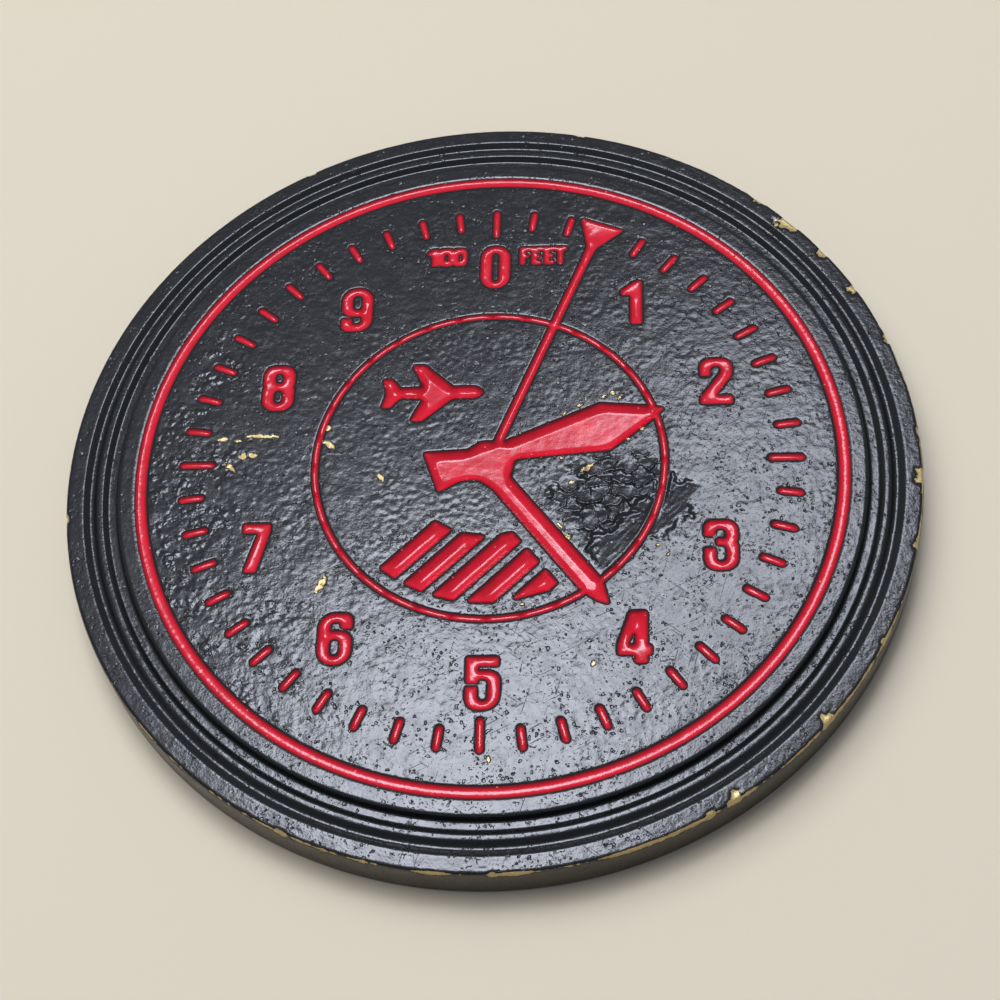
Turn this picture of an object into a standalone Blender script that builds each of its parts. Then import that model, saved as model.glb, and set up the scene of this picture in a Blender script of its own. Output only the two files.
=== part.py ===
"""Struck brass medallion in the form of an altimeter dial, coated in black lacquer.

The dial's figures are cells sunk in the disc, and each cell holds its own pool of red
enamel. Metres, +Z up, origin at the middle of the back face, +Y towards the zero mark.
"""

from math import acos, ceil, cos, pi, radians, sin, sqrt, tan

import bmesh
import bpy
from mathutils import Matrix, Vector
from mathutils.geometry import delaunay_2d_cdt

MM = 0.001

# Disc, in millimetres
DISC_RADIUS = 40.0
THICKNESS = 4.8
RIM_DROP = 0.45
SIDE_ROUND = 0.3
DISC_SEGMENTS = 96
# The rim's mouldings outside the dial face: (radius, depth below the face)
RIM_PROFILE = (
    (34.64, 0.00),
    (34.80, 0.06),
    (35.30, 0.55),
    (36.00, 0.60),
    (36.62, 0.42),
    (36.80, 0.42),
    (37.38, 0.72),
    (37.66, 0.75),
    (38.40, RIM_DROP),
    (39.66, RIM_DROP + 0.02),
    (39.91, RIM_DROP + 0.12),
    (40.00, RIM_DROP + 0.36),
)

# Cells and their enamel, which stands on the cell's floor with a gap to its walls. An arc's
# flats stay within SAG of the true arc
CELL_DEPTH = 0.60
ENAMEL_BELOW_FACE = 0.24
GAP = 0.05
SAG = 0.02

# Dial furniture
RING_RADIUS = 32.8
RING_WIDTH = 1.0
INNER_RING_RADIUS = 16.35
INNER_RING_WIDTH = 0.5
INNER_RING_SEGMENTS = 72
TICKS = 48
TICK_OUTER_RADIUS = 29.2
TICK_LENGTH = 2.36
LONG_TICK_LENGTH = 3.3
TICK_WIDTH = 0.58
HIDDEN_TICK = 3
LONG_TICK_EVERY = 12

# Numerals: cap height, stem and bar widths, and where the middle of each one lies
CAP = 5.05
WIDE = 3.0
STEM = 1.0
BAR = 0.8
BOWL = 1.42
COUNTER = 0.45
NIB = 0.14
NUMERAL_PLACES = (
    (0.0, 22.3),
    (13.35, 17.75),
    (21.3, 8.5),
    (21.3, -9.1),
    (13.45, -18.2),
    (0.1, -22.6),
    (-13.3, -18.2),
    (-21.3, -8.9),
    (-20.5, 8.5),
    (-13.45, 17.5),
)

# Small legends on both sides of the zero
LEGEND_HEIGHT = 2.1
LEGEND_100_PLACE = (-6.8, 22.55)
LEGEND_FEET_PLACE = (2.4, 22.55)
LETTER_STEM = 0.52
LETTER_BAR = 0.45
LETTER_PITCH = 1.24
LETTER_WIDTH = 1.08

# Warning stripes: slanted bars between two circles, cut off beside the narrow hand
STRIPES = 5
STRIPE_SLANT = radians(45)
STRIPE_PITCH = 2.71
STRIPE_WIDTH = 1.77
STRIPE_FIRST = 1.05
STRIPE_INNER_RADIUS = 7.9
STRIPE_OUTER_RADIUS = 14.7
STRIPE_TO_HAND_AXIS = 2.85
STRIPE_CORNER = 0.14

# Hands: the pointer runs straight out from the hub
POINTER_ANGLE = radians(21.15)
POINTER_HALF_WIDTH = 0.37
POINTER_FOOT = 1.2
POINTER_NECK = (0.46, 26.2)
POINTER_HEAD = (2.27, 29.25)
NARROW_HAND_ANGLE = radians(141.3)
# Tail, hub, broad hand and narrow hand as one outline: (x, y, corner radius)
HANDS = (
    (-6.15, 1.02, 0.10),
    (-4.65, -3.25, 0.15),
    (-2.60, -2.00, 0.80),
    (-0.90, -1.90, 1.20),
    (0.45, -2.95, 0.80),
    (8.55, -13.40, 0.50),
    (10.05, -14.55, 0.20),
    (11.20, -14.95, 0.10),
    (10.60, -12.55, 0.30),
    (1.98, -1.68, 0.30),
    (2.40, 0.25, 0.30),
    (11.30, 1.10, 0.40),
    (15.05, 4.20, 0.30),
    (16.40, 5.60, 0.10),
    (15.00, 5.85, 0.20),
    (10.35, 6.20, 0.70),
    (1.40, 2.15, 0.60),
    (-0.75, 2.15, 1.00),
    (-2.00, 1.25, 0.80),
)

# Aircraft emblem, seen from above with its nose to +X: its place, and the outline of one
# half from nose to tail as (x, y, corner radius)
EMBLEM_PLACE = (-5.6, 7.7)
EMBLEM_HALF = (
    (5.10, 0.00, 0.45),
    (4.10, 0.64, 0.60),
    (1.90, 0.64, 0.20),
    (-0.90, 3.15, 0.15),
    (-2.05, 3.15, 0.15),
    (-0.85, 0.64, 0.20),
    (-3.10, 0.52, 0.20),
    (-4.00, 1.60, 0.12),
    (-4.85, 1.60, 0.12),
    (-4.50, 0.30, 0.15),
)

BLACK_LACQUER = ("black_lacquer", (0.012, 0.013, 0.015), 0.28, 0.0)
RED_ENAMEL = ("red_enamel", (0.55, 0.012, 0.022), 0.18, 0.0)


# Outlines: lists of (x, y) in millimetres, anticlockwise


def rounded(corners):
    """The outline with an arc of each corner's own radius: corners are (x, y, radius)."""
    outline = []
    for i, (x, y, radius) in enumerate(corners):
        corner = Vector((x, y))
        before = Vector(corners[i - 1][:2]) - corner
        after = Vector(corners[(i + 1) % len(corners)][:2]) - corner
        half = before.angle(after) / 2
        reach = min(radius / tan(half), 0.49 * before.length, 0.49 * after.length)
        true_radius = reach * tan(half)
        middle = corner + (before.normalized() + after.normalized()).normalized() * (
            true_radius / sin(half)
        )
        start = corner + before.normalized() * reach - middle
        sweep = pi - 2 * half
        turn = -1 if before.cross(after) > 0 else 1
        steps = ceil(sweep / (2 * acos(1 - min(1, SAG / true_radius))))
        for k in range(steps + 1):
            spoke = Matrix.Rotation(turn * sweep * k / steps, 2) @ start
            outline.append(tuple(middle + spoke))
    return outline


def box(x0, y0, x1, y1, radius):
    return rounded([(x0, y0, radius), (x1, y0, radius), (x1, y1, radius), (x0, y1, radius)])


def circle(radius, segments):
    turns = (2 * pi * k / segments for k in range(segments))
    return [(radius * cos(a), radius * sin(a)) for a in turns]


def moved(outline, x, y):
    return [(px + x, py + y) for px, py in outline]


def turned(outline, angle):
    """Turned clockwise about the dial's middle, as a compass bearing is."""
    c, s = cos(angle), sin(angle)
    return [(x * c + y * s, y * c - x * s) for x, y in outline]


def grown(outline, by):
    """The outline moved outwards, or inwards if by is negative, with sharp corners kept."""
    points = [Vector(p) for p in outline]
    result = []
    for i, point in enumerate(points):
        into = (point - points[i - 1]).normalized()
        away = (points[(i + 1) % len(points)] - point).normalized()
        normal = Vector((into.y + away.y, -into.x - away.x)).normalized()
        spread = max(0.5, normal.dot(Vector((away.y, -away.x))))
        result.append(tuple(point + normal * (by / spread)))
    return result


class Figure:
    """A flat figure: its outline, less its holes."""

    def __init__(self, outline, holes=()):
        self.outline = outline
        self.holes = list(holes)

    def loops(self):
        yield self.outline, False
        for hole in self.holes:
            yield hole, True

    def moved(self, x, y):
        return Figure(moved(self.outline, x, y), [moved(hole, x, y) for hole in self.holes])

    def turned(self, angle):
        return Figure(turned(self.outline, angle), [turned(hole, angle) for hole in self.holes])

    def grown(self, by):
        return Figure(grown(self.outline, by), [grown(hole, -by) for hole in self.holes])


# Numerals, each in a box with its lower left corner at the origin


def numeral_0():
    width, opening = 2.85, 0.76
    left, right = (width - opening) / 2, (width + opening) / 2
    slot = box(left, BAR - 0.05, right, CAP - BAR + 0.05, 0.37)
    return Figure(box(0, 0, width, CAP, 1.36), [slot])


def numeral_1():
    flag = 0.93
    right = flag + STEM + 0.08
    corners = (
        (flag, 0, NIB),
        (right, 0, NIB),
        (right, CAP, NIB),
        (1.4, CAP, 0.3),
        (0, 3.98, NIB),
        (0, 3.4, NIB),
        (flag, 3.4, 0.06),
    )
    return Figure(rounded(corners))


def numeral_2():
    inner = WIDE - STEM
    corners = (
        (0, 0, NIB),
        (WIDE, 0, NIB),
        (WIDE, 0.9, NIB),
        (1.42, 0.9, 0.06),
        (WIDE, 3.2, 0.9),
        (WIDE, CAP, BOWL),
        (0, CAP, BOWL),
        (0, 3.12, NIB),
        (0.94, 3.12, 0.1),
        (0.94, CAP - BAR, COUNTER),
        (inner, CAP - BAR, COUNTER),
        (inner, 3.5, 0.6),
        (0, 0.72, 0.3),
    )
    return Figure(rounded(corners))


def numeral_3():
    inner = WIDE - STEM
    corners = (
        (0, 0, BOWL),
        (WIDE, 0, BOWL),
        (WIDE, 2.62, 0.35),
        (WIDE - 0.2, 2.85, 0.06),
        (WIDE, 3.08, 0.35),
        (WIDE, CAP, BOWL),
        (0, CAP, BOWL),
        (0, 3.45, NIB),
        (0.94, 3.45, 0.1),
        (0.94, CAP - BAR, COUNTER),
        (inner, CAP - BAR, COUNTER),
        (inner, 3.16, 0.3),
        (1.1, 3.16, 0.08),
        (1.1, 2.52, 0.08),
        (inner, 2.52, 0.4),
        (inner, BAR, COUNTER),
        (0.98, BAR, COUNTER),
        (0.98, 2.22, 0.1),
        (0, 2.22, NIB),
    )
    return Figure(rounded(corners))


def numeral_4():
    left, right = 1.52, 2.62
    low, high = 0.8, 1.72
    corners = (
        (left, 0, NIB),
        (right, 0, NIB),
        (right, low, 0.06),
        (WIDE, low, NIB),
        (WIDE, high, NIB),
        (right, high, 0.06),
        (right, CAP, NIB),
        (1.12, CAP, NIB),
        (0, 1.72, 0.3),
        (0, low, NIB),
        (left, low, 0.06),
    )
    hole = ((0.86, high, 0.12), (left + 0.03, high, 0.12), (left + 0.03, 3.5, 0.12))
    return Figure(rounded(corners), [rounded(hole)])


def numeral_5():
    inner = WIDE - STEM
    corners = (
        (0, 0, BOWL),
        (WIDE, 0, BOWL),
        (WIDE, 3.7, 1.3),
        (STEM, 3.7, 0.06),
        (STEM, 4.18, 0.08),
        (2.86, 4.18, NIB),
        (2.86, CAP, NIB),
        (0, CAP, NIB),
        (0, 2.52, NIB),
        (STEM, 2.52, 0.1),
        (1.12, 2.95, 0.08),
        (inner, 2.95, COUNTER),
        (inner, BAR, COUNTER),
        (0.98, BAR, COUNTER),
        (0.98, 2.2, 0.1),
        (0, 2.2, NIB),
    )
    return Figure(rounded(corners))


def numeral_6():
    inner = WIDE - STEM
    corners = (
        (0, 0, BOWL),
        (WIDE, 0, BOWL),
        (WIDE, 3.28, 1.25),
        (STEM, 3.28, 0.1),
        (STEM, CAP - BAR, COUNTER),
        (inner, CAP - BAR, COUNTER),
        (inner, 3.56, 0.1),
        (WIDE, 3.56, NIB),
        (WIDE, CAP, BOWL),
        (0, CAP, BOWL),
    )
    return Figure(rounded(corners), [box(STEM, BAR, inner, 2.56, COUNTER)])


def numeral_7():
    width = 2.55
    corners = (
        (0.36, 0, NIB),
        (1.52, 0, NIB),
        (width, 4.25, 0.4),
        (width, CAP, NIB),
        (0, CAP, NIB),
        (0, 4.1, NIB),
        (1.48, 4.1, 0.1),
    )
    return Figure(rounded(corners))


def numeral_8():
    waist, inset, half = 2.7, 0.17, 0.24
    corners = (
        (0, 0, BOWL),
        (WIDE, 0, BOWL),
        (WIDE, waist - half, 0.35),
        (WIDE - inset, waist, 0.08),
        (WIDE, waist + half, 0.35),
        (WIDE, CAP, BOWL),
        (0, CAP, BOWL),
        (0, waist + half, 0.35),
        (inset, waist, 0.08),
        (0, waist - half, 0.35),
    )
    holes = [
        box(1.04, BAR, WIDE - 1.04, 2.34, 0.42),
        box(1.08, 3.06, WIDE - 1.08, CAP - BAR, 0.38),
    ]
    return Figure(rounded(corners), holes)


def numeral_9():
    """A six turned upside down."""
    six = numeral_6()

    def upside_down(outline):
        return [(WIDE - x, CAP - y) for x, y in outline]

    return Figure(upside_down(six.outline), [upside_down(hole) for hole in six.holes])


NUMERALS = (
    (numeral_0, 2.85),
    (numeral_1, 2.0),
    (numeral_2, WIDE),
    (numeral_3, WIDE),
    (numeral_4, WIDE),
    (numeral_5, WIDE),
    (numeral_6, WIDE),
    (numeral_7, 2.55),
    (numeral_8, WIDE),
    (numeral_9, WIDE),
)


# Legends


def legend_100():
    """A one and two noughts that run into each other."""
    height = LEGEND_HEIGHT
    corners = (
        (0.46, 0, 0.1),
        (1.08, 0, 0.1),
        (1.18, 0.4, 0.05),
        (1.28, 0, 0.34),
        (2.46, 0, 0.3),
        (2.58, 0.36, 0.05),
        (2.7, 0, 0.3),
        (3.96, 0, 0.5),
        (3.96, height, 0.5),
        (2.7, height, 0.3),
        (2.58, height - 0.36, 0.05),
        (2.46, height, 0.3),
        (1.28, height, 0.34),
        (1.18, height - 0.4, 0.05),
        (1.08, height, 0.1),
        (0.64, height, 0.15),
        (0, 1.68, 0.1),
        (0, 1.3, 0.1),
        (0.46, 1.3, 0.05),
    )
    noughts = [box(x - 0.2, 0.58, x + 0.2, height - 0.58, 0.19) for x in (1.9, 3.28)]
    return Figure(rounded(corners), noughts)


def legend_feet():
    """Four letters that hang from one shared top bar."""
    under_bar = LEGEND_HEIGHT - LETTER_BAR
    arm_low, arm_high = 0.86, 1.24
    corners = [(0, 0, 0.1), (LETTER_STEM, 0, 0.1)]
    corners += [(LETTER_STEM, arm_low, 0.04), (0.92, arm_low, 0.08)]
    corners += [(0.92, arm_high, 0.08), (LETTER_STEM, arm_high, 0.04)]
    corners += [(LETTER_STEM, under_bar, 0.04)]
    for letter in (1, 2):
        x = letter * LETTER_PITCH - 0.1
        stem, end = x + LETTER_STEM, x + LETTER_WIDTH - 0.06
        corners += [(x, under_bar, 0.04), (x, 0, 0.1), (end, 0, 0.1), (end, LETTER_BAR, 0.08)]
        corners += [(stem, LETTER_BAR, 0.04), (stem, arm_low, 0.04), (end - 0.1, arm_low, 0.08)]
        corners += [(end - 0.1, arm_high, 0.08), (stem, arm_high, 0.04), (stem, under_bar, 0.04)]
    stem = 3 * LETTER_PITCH + 0.02
    corners += [(stem, under_bar, 0.04), (stem, 0, 0.1), (stem + LETTER_STEM, 0, 0.1)]
    corners += [(stem + LETTER_STEM, under_bar, 0.04), (stem + 0.92, under_bar, 0.1)]
    corners += [(stem + 0.92, LEGEND_HEIGHT, 0.12), (0, LEGEND_HEIGHT, 0.12)]
    return Figure(rounded(corners))


# Hands, stripes, ticks and emblem


def ring(radius, width, segments):
    outer = circle(radius + width / 2, segments)
    return Figure(outer, [circle(radius - width / 2, segments)])


def pointer():
    """The long thin hand, from the hub out to its flared head."""
    sides = (
        (POINTER_HALF_WIDTH, POINTER_FOOT, 0.05),
        (POINTER_HALF_WIDTH, POINTER_NECK[1] - 1.8, 2.0),
        (*POINTER_NECK, 0.5),
        (*POINTER_HEAD, 0.12),
    )
    left = [(-x, y, radius) for x, y, radius in reversed(sides)]
    return Figure(turned(rounded([*sides, *left]), POINTER_ANGLE))


def stripe(index):
    """One slanted bar, drawn with x across the bars and y along them, up to the right."""
    hand = NARROW_HAND_ANGLE - STRIPE_SLANT
    # Where the line beside the hand leaves the inner circle
    reach = sqrt(STRIPE_INNER_RADIUS**2 - STRIPE_TO_HAND_AXIS**2)
    leaves_circle = reach * sin(hand) + STRIPE_TO_HAND_AXIS * cos(hand)

    def lower_end(x):
        return -sqrt(STRIPE_OUTER_RADIUS**2 - x**2)

    def upper_end(x):
        if x > leaves_circle:
            return (x * cos(hand) - STRIPE_TO_HAND_AXIS) / sin(hand)
        return -sqrt(STRIPE_INNER_RADIUS**2 - x**2)

    left = STRIPE_FIRST + index * STRIPE_PITCH
    right = left + STRIPE_WIDTH
    top = [x for x in (right, leaves_circle, left) if left <= x <= right]
    corners = [(left, lower_end(left)), (right, lower_end(right))]
    corners += [(x, upper_end(x)) for x in top]
    return Figure(turned(rounded([(x, y, STRIPE_CORNER) for x, y in corners]), STRIPE_SLANT))


def tick(length):
    half = TICK_WIDTH / 2
    return Figure(box(-half, TICK_OUTER_RADIUS - length, half, TICK_OUTER_RADIUS, 0.27))


def emblem():
    mirrored = [(x, -y, radius) for x, y, radius in reversed(EMBLEM_HALF) if y > 0]
    return Figure(rounded([*EMBLEM_HALF, *mirrored]))


# Cells: each is a name, the figures that make it up, its place and its bearing. A cell with
# no name is one whose enamel has no solid of its own


def cells():
    yield "outer_ring", [ring(RING_RADIUS, RING_WIDTH, DISC_SEGMENTS)], (0, 0), 0
    inner_ring = ring(INNER_RING_RADIUS, INNER_RING_WIDTH, INNER_RING_SEGMENTS)
    hands = [inner_ring, Figure(rounded(HANDS)), pointer()]
    yield "hands_and_inner_ring", hands, (0, 0), 0
    for digit, (figure, width) in enumerate(NUMERALS):
        yield f"numeral_{digit}", [figure().moved(-width / 2, -CAP / 2)], NUMERAL_PLACES[digit], 0
    yield "legend_100", [legend_100()], LEGEND_100_PLACE, 0
    yield "legend_feet", [legend_feet()], LEGEND_FEET_PLACE, 0
    yield "aircraft_emblem", [emblem()], EMBLEM_PLACE, 0
    for index in range(STRIPES):
        yield f"warning_stripe_{index + 1}", [stripe(index)], (0, 0), 0
    for index in range(TICKS):
        bearing = 360 * index / TICKS
        if index % LONG_TICK_EVERY == 0:
            yield f"long_tick_{bearing:.0f}", [tick(LONG_TICK_LENGTH)], (0, 0), bearing
        elif index != HIDDEN_TICK:
            yield None, [tick(TICK_LENGTH)], (0, 0), bearing


# Solids


def placed(figure, place, bearing):
    return figure.turned(radians(bearing)).moved(*place)


def prism(name, figures, bottom, top):
    """A mesh of the union of the figures, from height bottom up to height top."""
    points, loops, owners = [], [], []
    for number, figure in enumerate(figures):
        for outline, is_hole in figure.loops():
            loops.append(range(len(points), len(points) + len(outline)))
            owners.append((number, is_hole))
            points += [Vector(p) for p in outline]
    flat = delaunay_2d_cdt(points, [], [list(loop) for loop in loops], 1, 1e-6)
    bm = bmesh.new()
    corners = [bm.verts.new((p.x * MM, p.y * MM, bottom * MM)) for p in flat[0]]
    for face, inside in zip(flat[2], flat[5]):
        solid = {owners[i][0] for i in inside if not owners[i][1]}
        if solid - {owners[i][0] for i in inside if owners[i][1]}:
            bm.faces.new([corners[i] for i in face])
    bmesh.ops.delete(bm, geom=[v for v in corners if not v.link_faces], context="VERTS")
    raised = bmesh.ops.extrude_face_region(bm, geom=bm.faces[:])["geom"]
    up = Vector((0, 0, (top - bottom) * MM))
    bmesh.ops.translate(bm, vec=up, verts=[v for v in raised if isinstance(v, bmesh.types.BMVert)])
    return finished(name, bm)


def finished(name, bm):
    bmesh.ops.recalc_face_normals(bm, faces=bm.faces[:])
    mesh = bpy.data.meshes.new(name)
    bm.to_mesh(mesh)
    bm.free()
    mesh.shade_smooth()
    mesh.set_sharp_from_angle(angle=radians(30))
    return mesh


def disc_mesh():
    """The rim's profile spun about Z, closed by the dial face and by the back."""
    profile = [(radius, THICKNESS - depth) for radius, depth in RIM_PROFILE]
    for k in range(4):
        turn = radians(30) * k
        side = DISC_RADIUS - SIDE_ROUND * (1 - cos(turn))
        profile.append((side, SIDE_ROUND * (1 - sin(turn))))
    bm = bmesh.new()
    verts = [bm.verts.new((radius * MM, 0, height * MM)) for radius, height in profile]
    edges = [bm.edges.new(pair) for pair in zip(verts, verts[1:])]
    bmesh.ops.spin(
        bm,
        geom=verts + edges,
        cent=(0, 0, 0),
        axis=(0, 0, 1),
        angle=2 * pi,
        steps=DISC_SEGMENTS,
        use_merge=True,
    )
    bmesh.ops.edgeloop_fill(bm, edges=[e for e in bm.edges if e.is_boundary])
    return finished("struck_disc", bm)


def principled(name, colour, roughness, metallic):
    material = bpy.data.materials.new(name)
    material.use_nodes = True
    shader = material.node_tree.nodes["Principled BSDF"]
    shader.inputs["Base Color"].default_value = (*colour, 1)
    shader.inputs["Roughness"].default_value = roughness
    shader.inputs["Metallic"].default_value = metallic
    return material


def add(name, mesh, parent, material=None):
    obj = bpy.data.objects.new(name, mesh)
    bpy.context.scene.collection.objects.link(obj)
    obj.parent = parent
    if material:
        mesh.materials.append(material)
    return obj


def build():
    for obj in list(bpy.data.objects):
        bpy.data.objects.remove(obj)
    medallion = add("medallion", None, None)
    disc = add("struck_disc", disc_mesh(), medallion, principled(*BLACK_LACQUER))

    enamel = principled(*RED_ENAMEL)
    floor, level = THICKNESS - CELL_DEPTH, THICKNESS - ENAMEL_BELOW_FACE
    sunk = []
    for name, figures, place, bearing in cells():
        sunk += [placed(figure, place, bearing).grown(GAP) for figure in figures]
        if name:
            pool = add(name, prism(name, figures, floor, level), medallion, enamel)
            pool.location = (place[0] * MM, place[1] * MM, 0)
            pool.rotation_euler.z = -radians(bearing)

    above = THICKNESS + CELL_DEPTH
    cutter = add("cell_cutter", prism("cell_cutter", sunk, floor, above), medallion)
    cutter.hide_render = True
    cutter.display_type = "WIRE"
    cut = disc.modifiers.new("cells", "BOOLEAN")
    cut.object = cutter
    cut.operation = "DIFFERENCE"
    cut.solver = "EXACT"


build()
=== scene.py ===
"""Altimeter dial medallion: detailed lacquer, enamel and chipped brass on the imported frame.

The fine meshes are made in millimetres from the outlines of the CAD disc's own face, so every
cell, pool and edge lies where the CAD has it.
"""

from itertools import product
from math import ceil, cos, pi, radians, sin

import bpy
import numpy as np
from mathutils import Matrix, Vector
from mathutils.geometry import delaunay_2d_cdt
from mathutils.kdtree import KDTree


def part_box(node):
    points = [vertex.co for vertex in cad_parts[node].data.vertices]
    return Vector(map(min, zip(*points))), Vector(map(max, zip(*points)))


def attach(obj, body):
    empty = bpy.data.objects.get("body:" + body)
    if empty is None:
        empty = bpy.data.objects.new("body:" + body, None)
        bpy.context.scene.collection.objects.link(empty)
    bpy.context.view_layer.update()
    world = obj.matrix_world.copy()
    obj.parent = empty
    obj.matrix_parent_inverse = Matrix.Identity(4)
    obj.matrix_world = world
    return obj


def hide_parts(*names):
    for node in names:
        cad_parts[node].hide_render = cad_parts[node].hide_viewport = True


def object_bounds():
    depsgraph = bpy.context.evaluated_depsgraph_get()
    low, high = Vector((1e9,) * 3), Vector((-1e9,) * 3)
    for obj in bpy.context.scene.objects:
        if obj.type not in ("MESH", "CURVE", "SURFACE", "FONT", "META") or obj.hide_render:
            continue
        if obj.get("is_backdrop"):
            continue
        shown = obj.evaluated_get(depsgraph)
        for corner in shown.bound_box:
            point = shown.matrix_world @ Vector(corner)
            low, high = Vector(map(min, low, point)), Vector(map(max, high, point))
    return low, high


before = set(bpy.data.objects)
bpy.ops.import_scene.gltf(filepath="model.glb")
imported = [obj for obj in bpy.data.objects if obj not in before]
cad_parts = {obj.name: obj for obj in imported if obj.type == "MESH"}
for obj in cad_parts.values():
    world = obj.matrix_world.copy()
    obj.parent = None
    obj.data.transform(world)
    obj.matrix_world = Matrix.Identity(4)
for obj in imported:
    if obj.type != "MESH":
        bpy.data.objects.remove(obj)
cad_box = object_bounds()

MM = 0.001

# The disc, in millimetres
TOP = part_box("struck_disc")[1].z / MM
CELL_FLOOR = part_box("outer_ring")[0].z / MM
DISC_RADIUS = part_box("struck_disc")[1].x / MM
SIDE_ROUND = 0.3
FACE_RADIUS = 34.64
OUTER_RING = (32.25, 33.35)
INNER_RING = (16.05, 16.65)
INNER_RING_MIDDLE = 16.35

# The rim's mouldings: (radius, depth below the face)
RIM_PROFILE = (
    (34.80, 0.00),
    (34.90, 0.03),
    (34.98, 0.12),
    (35.16, 0.66),
    (35.22, 0.72),
    (35.98, 0.72),
    (36.42, 0.37),
    (36.48, 0.36),
    (36.97, 0.36),
    (37.34, 0.71),
    (37.40, 0.75),
    (37.74, 0.75),
    (38.28, 0.43),
    (38.38, 0.42),
    (39.78, 0.43),
    (39.93, 0.55),
)

# Mesh spacing along outlines, beside them (distances from the outline), and over the areas.
# The wide pools of enamel all lie within WIDE_REACH of the middle
OUTLINE_STEP = 0.12
OUTLINE_FINE = 0.04
OUTLINE_BLUR = 0.11
LACQUER_ROWS = (0.06, 0.14, 0.25)
ENAMEL_ROWS = (0.06, 0.13, 0.21, 0.30, 0.40)
INNER_GRID = 0.155
OUTER_GRID = 0.20
ENAMEL_GRID = 0.14
WIDE_REACH = 18
CHIP_GRID = 0.07
CRACKLE_GRID = 0.10

# Rows of the turned section: closer together where it turns, by so much for each radian
SECTION_STEP = 0.02
SECTION_BLUR = 2.5 * SECTION_STEP
RIM_ROW = 0.16
TURN_COST = 0.3
SIDE_ROWS = 11
FOOT_TURNS = (22.5, 45, 67.5, 90)
BACK_RADII = (39.2, 36, 28, 18, 8)
CORE_RADIUS = 18
RIM_SEGMENTS = 960

# Sections at a cell's edge: the lacquer rolls over into the cell, and the enamel climbs its walls
LIP_DROP = 0.045
LIP_WIDTH = 0.20
LIP_CURVE = 2.5
ENAMEL_EDGE = 0.06
ENAMEL_HOLLOW = 0.46
ENAMEL_REACH = 0.80
RELAXING_ROUNDS = 240

# The lacquer's unevenness: heights and sizes of its features
WAVE_HEIGHT, WAVE_SIZE = 0.009, 2.1
DIMPLE_HEIGHT, DIMPLE_SIZE = 0.010, 1.15
GRAIN_HEIGHT, GRAIN_SIZE = 0.013, 0.52

# The lacquer's mean level below the top, and how far from a cell its unevenness sets in
LACQUER_BELOW_TOP = 0.004
SETTLING = 0.5

# How deep the chips are, and how far the side is drawn in, evenly and in streaks
CHIP_DEPTH = 0.035
RIM_CHIP_DEPTH = 0.07
SIDE_PULL = 0.012
SIDE_STREAKS = 0.010

# The outer edge is worn most at one bearing, in degrees, and so far inwards and down
WORN_BEARING = 130
WORN_REACH = 0.14
WORN_DROP = 0.3

# Chips down to the brass on the dial: (x, y, half length, half width, angle in degrees)
CHIPS = (
    (-21.7, 3.1, 1.75, 0.20, -2),
    (-25.3, 2.8, 0.55, 0.20, 10),
    (-23.9, 2.6, 0.30, 0.14, 0),
    (-23.3, 0.95, 0.38, 0.32, 0),
    (-22.4, 0.98, 0.40, 0.30, 10),
    (-24.4, -0.25, 0.75, 0.24, -35),
    (-15.35, 3.9, 0.32, 0.30, 0),
    (-15.2, 2.1, 0.72, 0.27, -35),
    (-10.1, -1.55, 0.62, 0.20, -50),
    (-14.95, -12.8, 0.95, 0.36, 62),
    (9.2, -0.85, 0.75, 0.22, 40),
    (7.75, -2.4, 0.24, 0.18, 30),
    (6.7, -6.95, 0.45, 0.14, -52),
    (7.45, -8.1, 0.42, 0.16, -60),
    (9.8, -20.75, 0.30, 0.20, 60),
    (0.85, -29.8, 0.16, 0.28, 0),
    (20.7, -8.2, 0.25, 0.08, 60),
    (7.0, 5.1, 0.20, 0.10, 30),
    (8.4, 6.0, 0.30, 0.13, 25),
    (9.0, 6.6, 0.16, 0.10, 80),
    (10.6, 6.9, 0.34, 0.16, 15),
    (11.5, 7.3, 0.26, 0.20, -20),
    (12.2, 6.8, 0.22, 0.12, 50),
    (12.9, 2.2, 0.26, 0.12, -30),
    (14.3, 3.3, 0.22, 0.14, 40),
    (14.9, 4.3, 0.30, 0.10, 60),
    (6.8, 0.2, 0.24, 0.12, 10),
    (16.5, -10.0, 0.20, 0.12, 60),
    (15.6, -9.0, 0.16, 0.10, 20),
    (3.4, -14.9, 0.20, 0.09, 0),
)

# Chips on the outer edge: (bearing in degrees, half length in degrees, reach inwards)
RIM_CHIPS = (
    (41.0, 1.5, 0.45),
    (46.7, 1.9, 1.25),
    (53.8, 0.9, 0.80),
    (61.3, 0.8, 0.95),
    (70.6, 1.0, 0.45),
    (85.7, 0.6, 0.3),
    (92.8, 1.5, 0.85),
    (102.9, 1.2, 0.4),
    (118.0, 0.9, 0.5),
    (131.2, 1.2, 1.0),
    (146.5, 1.2, 1.0),
    (150.5, 1.0, 0.4),
    (178.0, 0.8, 0.25),
    (205.0, 1.2, 0.3),
    (262.0, 1.0, 0.35),
    (331.0, 0.9, 0.4),
    (12.0, 0.8, 0.35),
)

# The patch of crackled lacquer between the hands: plates with raised borders that lean north
CRACKLE_MIDDLE = (11.6, -4.6)
CRACKLE_RADII = (5.9, 5.6)
CRACKLE_CELL = 1.5
CRACKLE_HEIGHT = 0.07
WRINKLE_HEIGHT = 0.008
PLATE_WARP = 0.35
PLATE_LEAN = 0.055

# The smooth smear beside it, which leans down to the north-west
SMEAR_ENDS = ((17.5, -3.9), (11.2, -9.6))
SMEAR_HALF_WIDTH = 2.0
SMEAR_LEAN = -0.068
SMEAR_SUNK = 0.05

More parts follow.
